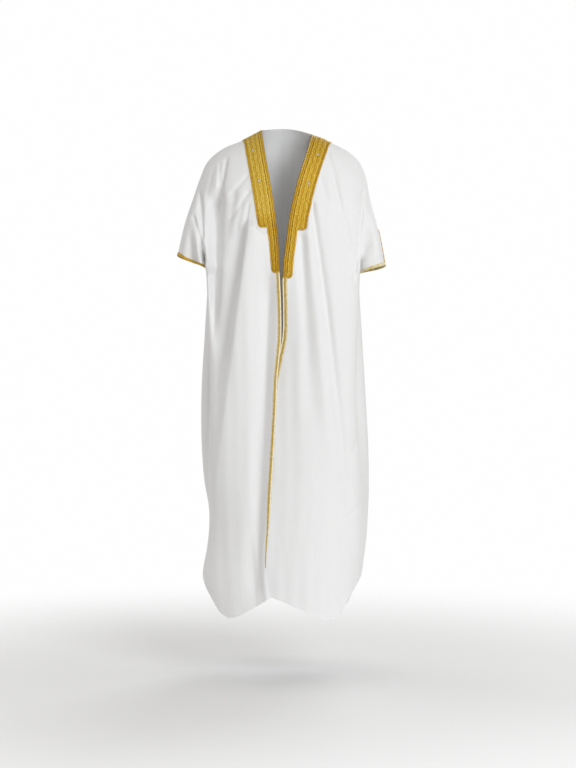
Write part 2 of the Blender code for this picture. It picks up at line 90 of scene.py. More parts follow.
# Level sections of the hanging robe: depths in front and behind, half widths of the front and
# back halves on each side, and how far the cloth is drawn in under the arm.
SECTIONS = {
    "z": (-0.30, -0.40, -0.56, -0.72, -0.90, -1.00, -1.08, -1.18, -1.26, -1.38),
    "front": (0.128, 0.134, 0.138, 0.140, 0.146, 0.150, 0.156, 0.162, 0.166, 0.168),
    "back": (0.128, 0.130, 0.132, 0.136, 0.142, 0.147, 0.152, 0.158, 0.164, 0.168),
    "right_front": (0.274, 0.274, 0.262, 0.250, 0.237, 0.224, 0.216, 0.220, 0.229, 0.210),
    "left_front": (0.274, 0.274, 0.262, 0.250, 0.245, 0.244, 0.240, 0.236, 0.224, 0.212),
    "right_back": (0.280, 0.286, 0.294, 0.296, 0.270, 0.246, 0.223, 0.220, 0.229, 0.210),
    "left_back": (0.280, 0.286, 0.294, 0.296, 0.281, 0.267, 0.256, 0.242, 0.224, 0.212),
    "tuck": (0.058, 0.086, 0.086, 0.074, 0.040, 0.020, 0.010, 0.004, 0.000, 0.000),
}

# Where the two front edges run: x at each height.
EDGE = {
    "right": {"z": (0.006, -0.056, -0.160, -0.256, -0.329, -0.385, -0.430, -0.500, -0.598,
                    -0.645, -0.700, -0.797, -1.000, -1.096, -1.234, -1.306),
              "x": (-0.0620, -0.0524, -0.0348, -0.0205, -0.0124, -0.0110, -0.0085, -0.0055,
                    -0.0055, -0.0097, -0.0150, -0.0190, -0.0310, -0.0369, -0.0460, -0.0365)},
    "left": {"z": (-0.007, -0.057, -0.160, -0.256, -0.329, -0.385, -0.425, -0.504, -0.590,
                   -0.650, -0.720, -0.850, -1.100, -1.309),
             "x": (0.0820, 0.0680, 0.0378, 0.0166, 0.0072, 0.0002, -0.0020, -0.0010, -0.0030,
                   -0.0150, -0.0280, -0.0420, -0.0620, -0.0700)},
}

# The hem's height by the turn round the robe, in degrees from the middle of the front.
HEM = {
    "right_front": {"turn": (0, 12, 26, 51, 57, 63, 70, 80, 90),
                    "z": (-1.300, -1.309, -1.336, -1.367, -1.356, -1.330, -1.301, -1.268, -1.255)},
    "left_front": {"turn": (-25, -12, 0, 21, 40, 50, 60, 75, 90),
                   "z": (-1.296, -1.309, -1.322, -1.348, -1.374, -1.362, -1.314, -1.268, -1.252)},
    "right_back": {"turn": (90, 110, 125, 140, 160, 180),
                   "z": (-1.255, -1.290, -1.340, -1.362, -1.350, -1.338)},
    "left_back": {"turn": (90, 105, 118, 128, 145, 160, 180),
                  "z": (-1.252, -1.290, -1.358, -1.392, -1.386, -1.360, -1.338)},
}

# Creases of the fronts. Each runs from a top to a bottom point (x, z) and bows sideways by bow.
# At its top and bottom it is this wide to each side of its middle and stands this far out (or
# lies this far in), and past both ends it fades out. One that leans is wider on its -X side.
RIGHT_CREASES = (
    # x_top, z_top, x_low, z_low, bow, w_top, w_low, lean, out_top, out_low, fades above, below
    (-0.160, -0.094, -0.179, -0.206, 0.000, 0.0067, 0.0106, 0.30, -0.0070, -0.0130, 0.022, 0.061),
    (-0.179, -0.102, -0.180, -0.167, 0.000, 0.0050, 0.0061, 0.00, -0.0040, -0.0040, 0.017, 0.028),
    (-0.196, -0.108, -0.216, -0.200, 0.000, 0.0061, 0.0073, 0.00, -0.0025, -0.0020, 0.017, 0.033),
    (-0.184, -0.220, -0.195, -0.485, 0.000, 0.0206, 0.0184, 0.25, -0.0380, -0.0360, 0.061, 0.153),
    (-0.174, -0.220, -0.180, -0.540, 0.000, 0.0279, 0.0307, 0.00, -0.0080, -0.0090, 0.067, 0.167),
    (-0.234, -0.328, -0.229, -0.384, 0.000, 0.0251, 0.0268, -0.29, 0.0440, 0.0540, 0.106, 0.028),
    (-0.262, -0.267, -0.258, -0.367, 0.000, 0.0167, 0.0184, 0.30, -0.0060, -0.0090, 0.028, 0.022),
    (-0.213, -0.401, -0.208, -0.540, 0.000, 0.0181, 0.0195, 0.00, 0.0280, 0.0220, 0.033, 0.139),
    (-0.096, -0.287, -0.180, -0.959, 0.000, 0.0265, 0.0530, -0.60, 0.0220, 0.0130, 0.033, 0.195),
    (-0.095, -0.220, -0.102, -0.267, 0.000, 0.0061, 0.0073, 0.60, -0.0030, -0.0050, 0.011, 0.022),
    (-0.120, -0.317, -0.176, -0.652, 0.000, 0.0237, 0.0251, 0.35, -0.0120, -0.0090, 0.070, 0.139),
    (-0.102, -0.139, -0.142, -0.186, 0.000, 0.0067, 0.0078, 0.20, -0.0040, -0.0030, 0.008, 0.017),
    (-0.096, -0.183, -0.137, -0.245, 0.000, 0.0078, 0.0095, 0.20, -0.0045, -0.0040, 0.008, 0.022),
    (-0.137, -0.194, -0.152, -0.278, 0.000, 0.0128, 0.0151, 0.20, -0.0090, -0.0070, 0.028, 0.056),
    (-0.114, -0.222, -0.127, -0.278, 0.000, 0.0084, 0.0100, 0.20, -0.0040, -0.0040, 0.017, 0.028),
    (-0.232, -0.189, -0.226, -0.300, 0.000, 0.0073, 0.0073, 0.30, -0.0130, -0.0120, 0.039, 0.022),
    (-0.249, -0.256, -0.221, -0.367, 0.001, 0.0070, 0.0081, 0.20, -0.0090, -0.0130, 0.022, 0.017),
    (-0.042, -0.485, -0.074, -1.244, 0.001, 0.0195, 0.0209, 0.20, -0.0130, -0.0120, 0.098, 0.112),
    (-0.239, -0.819, -0.239, -1.322, 0.000, 0.0502, 0.0502, 0.00, 0.0110, 0.0110, 0.195, 0.112),
    (-0.078, -1.168, -0.066, -1.327, 0.000, 0.0070, 0.0070, 0.00, 0.0020, 0.0020, 0.056, 0.028),
)
LEFT_CREASES = (
    # x_top, z_top, x_low, z_low, bow, w_top, w_low, lean, out_top, out_low, fades above, below
    (0.050, -0.312, 0.077, -0.722, 0.000, 0.0117, 0.0167, 0.00, -0.0100, -0.0050, 0.017, 0.167),
    (0.068, -0.267, 0.124, -0.847, 0.000, 0.0126, 0.0167, 0.00, 0.0050, 0.0040, 0.033, 0.167),
    (0.080, -0.220, 0.172, -0.987, 0.007, 0.0084, 0.0128, 0.00, -0.0100, -0.0060, 0.017, 0.139),
    (0.126, -0.066, 0.172, -0.275, 0.000, 0.0078, 0.0100, 0.00, -0.0070, -0.0050, 0.022, 0.112),
    (0.099, -0.128, 0.121, -0.194, 0.000, 0.0078, 0.0084, 0.00, -0.0030, -0.0020, 0.014, 0.039),
    (0.183, -0.275, 0.186, -0.379, 0.000, 0.0098, 0.0098, 0.00, -0.0020, -0.0020, 0.056, 0.056),
    (0.226, -0.178, 0.199, -0.418, 0.002, 0.0053, 0.0056, 0.00, -0.0060, -0.0050, 0.028, 0.022),
    (0.230, -0.340, 0.226, -0.395, 0.000, 0.0167, 0.0223, -0.25, 0.0120, 0.0260, 0.067, 0.022),
    (0.230, -0.819, 0.197, -0.903, 0.000, 0.0098, 0.0098, 0.00, -0.0030, -0.0030, 0.022, 0.028),
    (0.236, -1.037, 0.191, -1.082, 0.000, 0.0098, 0.0098, 0.00, -0.0030, -0.0030, 0.017, 0.022),
)
FRONT_CREASES = {"right": RIGHT_CREASES, "left": LEFT_CREASES}


def smooth(low, high, x):
    """0 at low, 1 at high, an S curve between, and level beyond both."""
    t = np.clip((np.asarray(x, float) - low) / (high - low), 0, 1)
    return t * t * (3 - 2 * t)


def curve(xs, ys, x):
    """A smooth curve through the points (xs, ys), read at x: a cubic on each stretch."""
    xs, ys = np.asarray(xs, float), np.asarray(ys, float)
    if xs[0] > xs[-1]:
        xs, ys = xs[::-1], ys[::-1]
    run = np.diff(xs)
    slope = np.diff(ys) / run
    tangent = np.empty_like(ys)
    tangent[1:-1] = (slope[:-1] * run[1:] + slope[1:] * run[:-1]) / (run[:-1] + run[1:])
    tangent[0], tangent[-1] = slope[0], slope[-1]
    x = np.clip(np.asarray(x, float), xs[0], xs[-1])
    i = np.clip(np.searchsorted(xs, x) - 1, 0, len(run) - 1)
    h = run[i]
    t = (x - xs[i]) / h
    return (ys[i] * (1 + 2 * t) * (1 - t) ** 2 + tangent[i] * h * t * (1 - t) ** 2
            + ys[i + 1] * t * t * (3 - 2 * t) - tangent[i + 1] * h * t * t * (1 - t))


def shoulder_line(side):
    """Distance along the shoulder line from the neck, how far out and how high, densely."""
    out, z = np.array(SHOULDER[side]["out"]), np.array(SHOULDER[side]["z"])
    at = np.concatenate([[0], np.cumsum(np.hypot(np.diff(out), np.diff(z)))])
    fine = np.linspace(0, at[-1], 300)
    out, z = curve(at, out, fine), curve(at, z, fine)
    arc = np.concatenate([[0], np.cumsum(np.hypot(np.diff(out), np.diff(z)))])
    return arc, out, z


SLEEVE = {side: shoulder_line(side)[0][-1] for side in SIDE}


def section(turn, z, side):
    """Distance from the axis to the hanging cloth at a height and a turn from the front: a
    squared ellipse, less the tuck under the arm."""
    z = np.clip(z, SECTIONS["z"][-1], SECTIONS["z"][0])
    at = {k: curve(SECTIONS["z"], SECTIONS[k], z)
          for k in ("front", "back", side + "_front", side + "_back", "tuck")}
    across, along = np.sin(turn), np.cos(turn)
    depth = np.where(along > 0, at["front"], at["back"])
    to_back = smooth(math.radians(78), math.radians(102), turn)
    half = at[side + "_front"] * (1 - to_back) + at[side + "_back"] * to_back
    r = ((np.abs(across) / half) ** SQUARE + (np.abs(along) / depth) ** SQUARE) ** (-1 / SQUARE)
    spread = np.where(turn < TUCK_TURN, TUCK_SPREAD[1], TUCK_SPREAD[-1])
    return r - at["tuck"] * np.exp(-(((turn - TUCK_TURN) / spread) ** 2))


def edge_out(z, side):
    """How far out a front edge lies at height z, towards its own side."""
    return SIDE[side] * curve(EDGE[side]["z"], EDGE[side]["x"], z)


def turn_of(s, z, side, face):
    """The turn round the robe at which the column s along the shoulder hangs. s runs from 0 at
    the neck to the sleeve's corner, and below 0 across the back of the neck."""
    if face == "back":
        return math.pi - (math.pi / 2) * (s + NECK_HALF) / (SLEEVE[side] + NECK_HALF)
    depth = curve(SECTIONS["z"], SECTIONS["front"], np.clip(z, -1.38, -0.30))
    edge = edge_out(np.minimum(z, BUST_Z), side)
    stand = EDGE_STAND * smooth(-0.30, -0.42, z) * (side == "right")
    width = BAND_DRAW * np.minimum(s, BAND_WIDE) - stand * smooth(0, BAND_NARROW, s)
    near = np.arctan2(edge + width, depth)
    g = np.clip((s - BAND_WIDE) / (SLEEVE[side] - BAND_WIDE), 0, 1)
    eased = g + 0.7 * g * (1 - g) ** 2
    rest = math.pi / 2 - np.arctan2(edge + BAND_DRAW * BAND_WIDE - stand, depth)
    return near + rest * eased


def hem_of(s, side, face):
    """The hem's height below the column s."""
    table = HEM[side + "_" + face]
    turn = turn_of(s, np.full_like(s, -1.30), side, face)
    return curve(table["turn"], table["z"], np.degrees(turn))


def panel_at(s, v, side, face):
    """Points of a panel's middle surface with no creases. v runs from 0 on the shoulder line,
    through 1 where the cloth starts to hang, to 2 at the hem.

    From 0 to 1 the cloth is wrapped over the body: a quarter of an ellipse from the shoulder
    line to the hanging section, pushed out round the arm. From 1 to 2 it follows the sections.
    """
    s, v = np.broadcast_arrays(np.asarray(s, float), np.asarray(v, float))
    arc, line_out, line_z = shoulder_line(side)
    share = np.clip(s / SLEEVE[side], 0, 1)
    nape = 1 - (1 + np.minimum(s, 0) / NECK_HALF) ** 2
    at_neck = line_out[0] * (1 + np.minimum(s, 0) / NECK_HALF)
    r_out = np.where(s < 0, at_neck, np.interp(s, arc, line_out))
    mid_z = (SHOULDER["right"]["z"][0] + SHOULDER["left"]["z"][0]) / 2
    r_z = np.interp(s, arc, line_z) + nape * (NAPE_RISE + mid_z - line_z[0])
    r_y = nape * NAPE_BACK
    hang_z = BUST_Z + (line_z[-1] - ARM_DROP[side] - BUST_Z) * smooth(0.45, 0.95, share)
    start = nape * NAPE_TILT
    phi = start + (math.pi / 2 - start) * np.clip(v, 0, 1)
    fall = (np.cos(start) - np.cos(phi)) / np.cos(start)
    reach = (np.sin(phi) - np.sin(start)) / (1 - np.sin(start))
    z = np.where(v < 1, r_z + (hang_z - r_z) * fall,
                 hang_z + (hem_of(s, side, face) - hang_z) * (v - 1))
    turn = turn_of(s, z, side, face)
    r = section(turn, z, side)
    h_out, h_y = r * np.sin(turn), -r * np.cos(turn)
    ease = reach ** 2
    out = r_out * (1 - ease) + h_out * ease
    if face == "front":
        straight = line_out[0] * (1 - ease) + edge_out(np.minimum(z, BUST_Z), side) * ease
        shift = (edge_out(z, side) - straight) * (1 - smooth(BAND_WIDE, 0.24, s))
        out = out + shift * smooth(0, 0.3, v)
    round_arm = ARM_BULGE * smooth(0.5, 0.95, share) * 3.1 * np.sin(phi) * np.cos(phi) ** 3
    y = r_y + (h_y - r_y) * reach + round_arm * (-1 if face == "front" else 1)
    if face == "front":
        lap = LAP[side]
        near = np.exp(-((np.maximum(s - lap["level"], 0) / lap["fade"]) ** 2))
        y = y + SIDE[side] * OVERLAP_OUT * near * smooth(lap["from"], lap["full"], z)
    return np.stack([SIDE[side] * out, y, z], axis=-1)


BROAD = 0.030            # a crease wider than this carries the stiff bands with it
SLEEVE_SAG = {"right": 0.009, "left": 0.002}
DEEPEST = 0.6            # the most of the way to the shoulders' plane that a valley may go


def crease_at(p, creases, soft):
    """How far the creases push the cloth out at points p: each is a bell curve across its
    line, with its own width on either side, that grows or shrinks along the line and fades out
    past its ends. Narrow ones are also multiplied by soft, which is 0 where the cloth is held
    flat."""
    x, z = p[..., 0], p[..., 2]
    total = np.zeros_like(x)
    for x0, z0, x1, z1, bow, w0, w1, lean, out0, out1, fade0, fade1 in creases:
        t = (z0 - z) / (z0 - z1)
        inside = np.clip(t, 0, 1)
        middle = x0 + (x1 - x0) * t + bow * 4 * inside * (1 - inside)
        width = (w0 + (w1 - w0) * inside) * np.where(x < middle, 1 + lean, 1 - lean)
        ends = (1 - smooth(0, fade0, z - z0)) * (1 - smooth(0, fade1, z1 - z))
        out = (out0 + (out1 - out0) * inside) * ends
        total += out * np.exp(-(((x - middle) / width) ** 2)) * (soft if w0 < BROAD else 1)
    return total


def ripple(p, seed, size, count=14):
    """Slight unevenness of hanging cloth, from -1 to 1: a sum of long upright waves."""
    draw = np.random.default_rng(seed)
    total = np.zeros(p.shape[:-1])
    for _ in range(count):
        across, down = draw.uniform(0.5, 1.6) / size, draw.uniform(-0.16, 0.16) / size
        total += np.sin(2 * math.pi * (p[..., 0] * across + p[..., 2] * down
                                       + draw.uniform(0, 1))) * draw.uniform(0.4, 1)
    return total / count ** 0.5 / 1.4


def unit(a):
    """Vectors brought to length 1."""
    return a / np.maximum(np.linalg.norm(a, axis=-1, keepdims=True), 1e-12)


def grid_normals(p, outward):
    """Unit normals at the points of a grid, from the directions along its two lines."""
    n = np.cross(np.gradient(p, axis=0), np.gradient(p, axis=1))
    return unit(n) * outward


def cloth_at(s, v, side, face, creases):
    """Points of a panel's creased middle surface on the grid of s by v, and the normals. All
    creases die out at the seams, and narrow ones under the stiff embroidered bands. The front
    edge of a sleeve opening sags a little below its back edge. No valley reaches the other
    panel."""
    outward = SIDE[side] * (1 if face == "front" else -1)
    p = panel_at(s[None, :], v[:, None], side, face)
    z = p[..., 2]
    share, down = (s / SLEEVE[side])[None, :], v[:, None]
    free = smooth(0, 0.16, down) * (1 - smooth(0.92, 1.0, share) * smooth(0.85, 1, down))
    soft = np.ones_like(z)
    if face == "front":
        sag = SLEEVE_SAG[side] * smooth(0.88, 1, share) * smooth(0.12, 0.4, down)
        z -= sag * (1 - smooth(0.70, 0.93, down))
        wide = BAND_NARROW + (BAND_WIDE - BAND_NARROW) * smooth(-0.31, -0.28, z)
        wide = wide * smooth(-0.46, -0.42, z)
        soft = smooth(wide - 0.006, wide + 0.012, s[None, :] + 0 * z)
    lift = crease_at(p, creases, soft)
    lift = lift + (0.0010 * ripple(p, 3, 0.05) + 0.0022 * ripple(p, 8, 0.16)) * soft
    lift = np.maximum(lift * free, -DEEPEST * abs(p[..., 1]))
    p = p + np.array([0, -1 if face == "front" else 1, 0]) * lift[..., None]
    return p, grid_normals(p, outward)


def spaced(stops, counts):
    """Numbers from the first stop to the last, with counts[i] even steps between stops."""
    parts = [np.linspace(a, b, n, endpoint=False)
             for a, b, n in zip(stops[:-1], stops[1:], counts)]
    return np.concatenate(parts + [[stops[-1]]])


def shell(name, outer, inner, across, along):
    """A closed thin shell between two grids of points, with a rim all round. Its UV map is
    the distance across and along the cloth, in metres."""
    rows, cols = outer.shape[:2]
    index = np.arange(rows * cols).reshape(rows, cols)
    top = np.stack([index[:-1, :-1], index[:-1, 1:], index[1:, 1:], index[1:, :-1]], -1)
    top = top.reshape(-1, 4)
    middle = (rows // 2, cols // 2)
    lift = outer[middle] - inner[middle]
    down = outer[middle[0] + 1, middle[1]] - outer[middle]
    aside = outer[middle[0], middle[1] + 1] - outer[middle]
    if np.dot(np.cross(aside, down), lift) < 0:
        top = top[:, ::-1]
    under = top[:, ::-1] + rows * cols
    edges = np.concatenate([np.stack([top[:, i], top[:, (i + 1) % 4]], 1) for i in range(4)])
    key = edges.min(1) * (rows * cols) + edges.max(1)
    _, first, count = np.unique(key, return_index=True, return_counts=True)
    rim = edges[first[count == 1]]
    sides = np.concatenate([rim[:, ::-1], rim + rows * cols], axis=1)
    faces = np.concatenate([top, under, sides])
    points = np.concatenate([outer.reshape(-1, 3), inner.reshape(-1, 3)])
    mesh = bpy.data.meshes.new(name)
    mesh.vertices.add(len(points))
    mesh.vertices.foreach_set("co", points.ravel())
    mesh.loops.add(faces.size)
    mesh.loops.foreach_set("vertex_index", faces.ravel().astype(np.int32))
    mesh.polygons.add(len(faces))
    mesh.polygons.foreach_set("loop_start", np.arange(0, faces.size, 4, dtype=np.int32))
    mesh.update(calc_edges=True)
    mesh.polygons.foreach_set("use_smooth", np.ones(len(faces), bool))
    flat = np.stack(np.broadcast_arrays(across, along), -1).reshape(-1, 2)
    uv = np.concatenate([flat, flat])[faces.ravel()]
    mesh.uv_layers.new(name="cloth").data.foreach_set("uv", uv.ravel().astype(np.float32))
    mesh.set_sharp_from_angle(angle=math.radians(55))
    made = bpy.data.objects.new(name, mesh)
    bpy.context.scene.collection.objects.link(made)
    return made


class Shade:
    """A value in a material's nodes. Sums on it add Math nodes, and node() adds any other."""

    def __init__(self, tree, socket=None):
        self.tree, self.socket = tree, socket

    def node(self, kind, settings, sockets, output=0):
        made = self.tree.nodes.new(kind)
        for key, value in settings.items():
            setattr(made, key, value)
        for key, value in sockets.items():
            if isinstance(value, Shade):
                self.tree.links.new(value.socket, made.inputs[key])
            else:
                made.inputs[key].default_value = value
        return Shade(self.tree, made.outputs[output])

    def sum(self, operation, a, b):
        return self.node("ShaderNodeMath", {"operation": operation}, {0: a, 1: b})

    def __add__(self, other):
        return self.sum("ADD", self, other)

    def __sub__(self, other):
        return self.sum("SUBTRACT", self, other)

    def __rsub__(self, other):
        return self.sum("SUBTRACT", other, self)

    def __mul__(self, other):
        return self.sum("MULTIPLY", self, other)

    __radd__, __rmul__ = __add__, __mul__


def finish_of(name):
    """A new material, its Principled shader, and a Shade to write its sums with."""
    made = bpy.data.materials.new(name)
    made.use_nodes = True
    return made, made.node_tree.nodes["Principled BSDF"], Shade(made.node_tree)


robe_cloth, shader, shade = finish_of("white_robe_cloth")
shader.inputs["Roughness"].default_value = 0.62
shader.inputs["Sheen Weight"].default_value = 0.25
shader.inputs["Sheen Roughness"].default_value = 0.45
shader.inputs["Subsurface Weight"].default_value = 0.25
shader.inputs["Subsurface Radius"].default_value = (1, 1, 1)
shader.inputs["Subsurface Scale"].default_value = 0.002
uv = shade.node("ShaderNodeUVMap", {"uv_map": "cloth"}, {})
streaks = shade.node("ShaderNodeMapping", {}, {"Vector": uv, "Scale": (260, 14, 1)})
slub = shade.node("ShaderNodeTexNoise", {}, {"Vector": streaks, "Scale": 1.0, "Detail": 3.0})
tint = shade.node("ShaderNodeMix", {"data_type": "RGBA"},
                  {0: slub, 6: (0.83, 0.83, 0.83, 1), 7: (0.90, 0.90, 0.90, 1)}, 2)
shade.tree.links.new(tint.socket, shader.inputs["Base Color"])
warp = shade.node("ShaderNodeTexWave", {"bands_direction": "X"}, {"Vector": uv, "Scale": 320.0})
weft = shade.node("ShaderNodeTexWave", {"bands_direction": "Y"}, {"Vector": uv, "Scale": 320.0})
weave = shade.node("ShaderNodeBump", {}, {"Height": warp * weft + slub * 0.5,
                                          "Distance": 0.0001, "Strength": 0.35})
shade.tree.links.new(weave.socket, shader.inputs["Normal"])

HEM_FOLD = 1.986         # v at the upper edge of the turned-up hem
HEM_STEP = 0.002         # and over how much of v the cloth thickens to double there
GROOVE = {"below": 0.001, "half": 0.0012, "deep": 0.0002}    # two in v, and metres


def faces_of(p, n, v):
    """The outer and inner faces of the cloth. The hem is turned up once to the inside, so the
    cloth is twice as thick there, and the stitches that hold it press a fine groove into it."""
    turned = smooth(HEM_FOLD - HEM_STEP, HEM_FOLD, v)[:, None, None]
    groove = np.exp(-(((v - HEM_FOLD - GROOVE["below"]) / GROOVE["half"]) ** 2))[:, None, None]
    outer = p + n * (CLOTH_THICK / 2 - GROOVE["deep"] * groove)
    return outer, p - n * (CLOTH_THICK / 2 + CLOTH_THICK * turned)


def length_down(p):
    """Distance down each column of a grid of points: the sum of the steps between its rows."""
    return np.cumsum(np.linalg.norm(np.diff(p, axis=0, prepend=p[:1]), axis=-1), axis=0)


WRAP = spaced((0, 1, 1.96, 1.983, 1.990, 2), (92, 172, 5, 8, 5))
panels = {}
for side in SIDE:
    s = spaced((0, BAND_WIDE, SLEEVE[side]), (22, 134))
    p, n = cloth_at(s, WRAP, side, "front", FRONT_CREASES[side])
    panels[side, "front"] = {"s": s, "v": WRAP, "p": p, "n": n}
    made = shell("cloth_front_" + side, *faces_of(p, n, WRAP), s[None, :], length_down(p))
    made.data.materials.append(robe_cloth)
    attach(made, "root")
    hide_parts("front_" + side)

# ---------------------------------------------------------------- the back
# One length of the same cloth from sleeve to sleeve. It hangs from the shoulders and the nape
# in long soft folds that spread towards the hem.
BACK_CREASES = (         # the middle belongs to both halves, so every fold reaches across it
    # x_top, z_top, x_low, z_low, bow, w_top, w_low, lean, out_top, out_low, fades above, below
    (-0.170, -0.140, -0.196, -0.620, -0.005, 0.013, 0.020, 0.2, -0.012, -0.010, 0.09, 0.22),
    (-0.130, -0.220, -0.142, -1.180, 0.006, 0.019, 0.030, -0.3, -0.014, -0.017, 0.12, 0.20),
    (-0.086, -0.420, -0.092, -1.260, 0.004, 0.020, 0.026, 0.0, 0.008, 0.012, 0.16, 0.14),
    (-0.052, -0.150, -0.070, -0.740, 0.003, 0.012, 0.019, 0.3, -0.008, -0.011, 0.07, 0.24),
    (-0.028, -0.560, -0.040, -1.290, -0.003, 0.016, 0.026, 0.0, -0.009, -0.015, 0.18, 0.10),
    (-0.196, -0.760, -0.206, -1.260, 0.000, 0.018, 0.024, 0.0, -0.009, -0.012, 0.18, 0.12),
    (-0.004, -0.130, 0.010, -0.520, 0.003, 0.015, 0.020, 0.0, 0.005, 0.006, 0.06, 0.22),
    (0.034, -0.170, 0.030, -0.980, -0.005, 0.013, 0.022, -0.3, -0.010, -0.013, 0.08, 0.24),
    (0.072, -0.500, 0.078, -1.300, 0.004, 0.019, 0.028, 0.0, 0.008, 0.013, 0.16, 0.12),
    (0.104, -0.160, 0.112, -1.080, 0.007, 0.014, 0.026, 0.3, -0.012, -0.016, 0.09, 0.24),
    (0.158, -0.120, 0.178, -0.840, 0.006, 0.014, 0.022, 0.0, -0.011, -0.012, 0.08, 0.24),
    (0.150, -0.900, 0.156, -1.300, 0.000, 0.018, 0.024, 0.0, -0.007, -0.010, 0.16, 0.10),
    (0.196, -0.700, 0.204, -1.280, 0.000, 0.018, 0.022, 0.0, 0.006, 0.008, 0.18, 0.12),
)
BACK_ROWS = spaced((0, 1, 1.96, 1.983, 1.990, 2), (80, 178, 5, 8, 5))
halves = {}
for side in SIDE:
    s = spaced((-NECK_HALF, 0, SLEEVE[side]), (12, 72))
    p, n = cloth_at(s, BACK_ROWS, side, "back", BACK_CREASES)
    halves[side] = {"s": s, "v": BACK_ROWS, "p": p, "n": n}
right, left = halves["right"], halves["left"]
middle = unit(right["n"][:, 0] + left["n"][:, 0])
for half in (right, left):
    half["n"][:, 0] = middle
p = np.concatenate([right["p"][:, ::-1], left["p"][:, 1:]], axis=1)
n = np.concatenate([right["n"][:, ::-1], left["n"][:, 1:]], axis=1)
s = np.concatenate([-right["s"][::-1] - NECK_HALF, left["s"][1:] + NECK_HALF])
back = shell("cloth_back", *faces_of(p, n, BACK_ROWS), s[None, :], length_down(p))
back.data.materials.append(robe_cloth)
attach(back, "root")
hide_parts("back")

# ---------------------------------------------------------------- the embroidered bands
# A stiff band of gold metal thread is sewn down each front. Two twisted cords follow its inner
# edge, and rows of small loops fill the rest. The outer half ends over the chest; it and the
# narrow stretch below it both end in a rounded corner, with a cord along their outline.
BAND_END = {"right": (-0.282, -0.410), "left": (-0.291, -0.425)}
BAND_BASE = 0.0007
BAND_OFF = 0.0003                 # clear of the cloth below it
ROW_STEP = 0.0014                 # between the rows of points along a band or a braid
CORNER = 0.012
LOOP = (0.0064, 0.0088)           # how wide and how long each loop is
CORDS = (                         # in from the edge: middle, half width, height, tone
    (0.0006, 0.0006, 0.0004, 0.12),
    (0.0036, 0.0022, 0.0011, 0.54),
    (0.0098, 0.0023, 0.0012, 0.66),
)
OUTLINE_CORDS = (                 # in from the outline
    (0.0010, 0.0010, 0.0007, 0.95),
    (0.0040, 0.0020, 0.0011, 0.50),
)
LOOPS_FROM = 0.0138
BAND_TONE_AND_SHADE = {"right": (0.05, -0.15), "left": (-0.08, -0.10)}   # tone over the shoulder, and on the narrow stretch, which is darker by painted shade
BAND_PAINTED_HIGHLIGHT = {"right": 0.0, "left": 0.8}     # the left band's second cord along the neck's edge has a painted highlight near the neck


def laid_on(panel, s, v):
    """Points and normals of a panel's cloth at s and v, between its grid's lines."""
    s, v = np.broadcast_arrays(np.asarray(s, float), np.asarray(v, float))
    i = np.clip(np.searchsorted(panel["v"], v, side="right") - 1, 0, len(panel["v"]) - 2)
    j = np.clip(np.searchsorted(panel["s"], s, side="right") - 1, 0, len(panel["s"]) - 2)
    a = ((v - panel["v"][i]) / (panel["v"][i + 1] - panel["v"][i]))[..., None]
    b = ((s - panel["s"][j]) / (panel["s"][j + 1] - panel["s"][j]))[..., None]
    mixed = [(1 - a) * ((1 - b) * g[i, j] + b * g[i, j + 1])
             + a * ((1 - b) * g[i + 1, j] + b * g[i + 1, j + 1]) for g in (panel["p"], panel["n"])]
    return mixed[0], unit(mixed[1])


def row_at(panel, z, s):
    """How far down the column s of a panel the height z is reached."""
    v = np.linspace(0, 2, 2001)
    heights = laid_on(panel, s, v)[0][:, 2]
    return float(np.interp(-z, -heights, v))


def down_column(panel, s):
    """Rows down the column s of a panel, and the length of cloth above each."""
    v = np.linspace(0, 2, 2001)
    return v, length_down(laid_on(panel, s, v)[0])


def cord(x, middle, half):
    """The round back of a cord: 1 on its middle, 0 on its edges and beyond."""
    return np.sqrt(np.clip(1 - ((x - middle) / half) ** 2, 0, 1))


def embroidery(u, t, rim, painted_glint=0.0):
    """Height and tone (0 dark brown, 1 pale gold) of the embroidery, u across from the neck's
    edge, t along, and rim in from the outline. The loops stand in wavering columns, every
    second one half a loop lower: each is a sine bump across times one along, and some columns
    are paler. Cords are round and crossed by slanting sine grooves: a thin dark one and two
    thick ones along the neck's edge, and a thick one along the outline with a fine pale one
    outside it."""
    wave = 0.0011 * np.sin(2 * math.pi * (t / 0.031 + u / 0.05)) \
        + 0.0006 * np.sin(2 * math.pi * t / 0.0131)
    across = (u + wave - LOOPS_FROM) / LOOP[0]
    along = (t + 0.0012 * np.sin(2 * math.pi * t / 0.023)) / LOOP[1] + 0.5 * (np.floor(across) % 2)
    loop = np.abs(np.sin(math.pi * across)) ** 0.7 \
        * (0.4 + 0.6 * np.abs(np.sin(math.pi * along)) ** 0.5)
    bare = (u < LOOPS_FROM) | (rim < 0.0066)
    height = np.where(bare, 0, 0.0002 + 0.0007 * loop)
    tone = np.where(bare, 0.15, 0.28 + 0.48 * loop + 0.10 * np.sin(2 * math.pi * across / 2.4))
    twist = np.sin(2 * math.pi * (t / 0.0084 + u / 0.010))
    # Painted highlight: on the twists of the second cord along the neck's edge, near the neck, the
    # tone is painted paler where light would glint on the metal.
    painted_highlight = painted_glint * np.clip(twist, 0, 1) * (1 - smooth(0.12, 0.20, t))
    for x, rows in ((u, CORDS), (rim, OUTLINE_CORDS)):
        for middle, half, high, shade_of in rows:
            back = cord(x, middle, half)
            height = np.maximum(height, high * back * (0.92 + 0.08 * twist))
            lit = shade_of + 0.07 * twist + painted_highlight * (middle == CORDS[1][0])
            tone = np.where(back > 0, 0.15 + (lit - 0.15) * back ** 0.5, tone)
    return height, tone


def add_tone(made, tone):
    """Keeps the thread's tone on the points of a shell, the same on its outer and inner side."""
    made.data.attributes.new("tone", "FLOAT", "POINT").data.foreach_set(
        "value", np.tile(tone.ravel(), 2).astype(np.float32))


def join(name, pieces):
    """Several pieces made one object."""
    with bpy.context.temp_override(active_object=pieces[0], selected_editable_objects=pieces):
        bpy.ops.object.join()
    pieces[0].name = pieces[0].data.name = name
    return pieces[0]


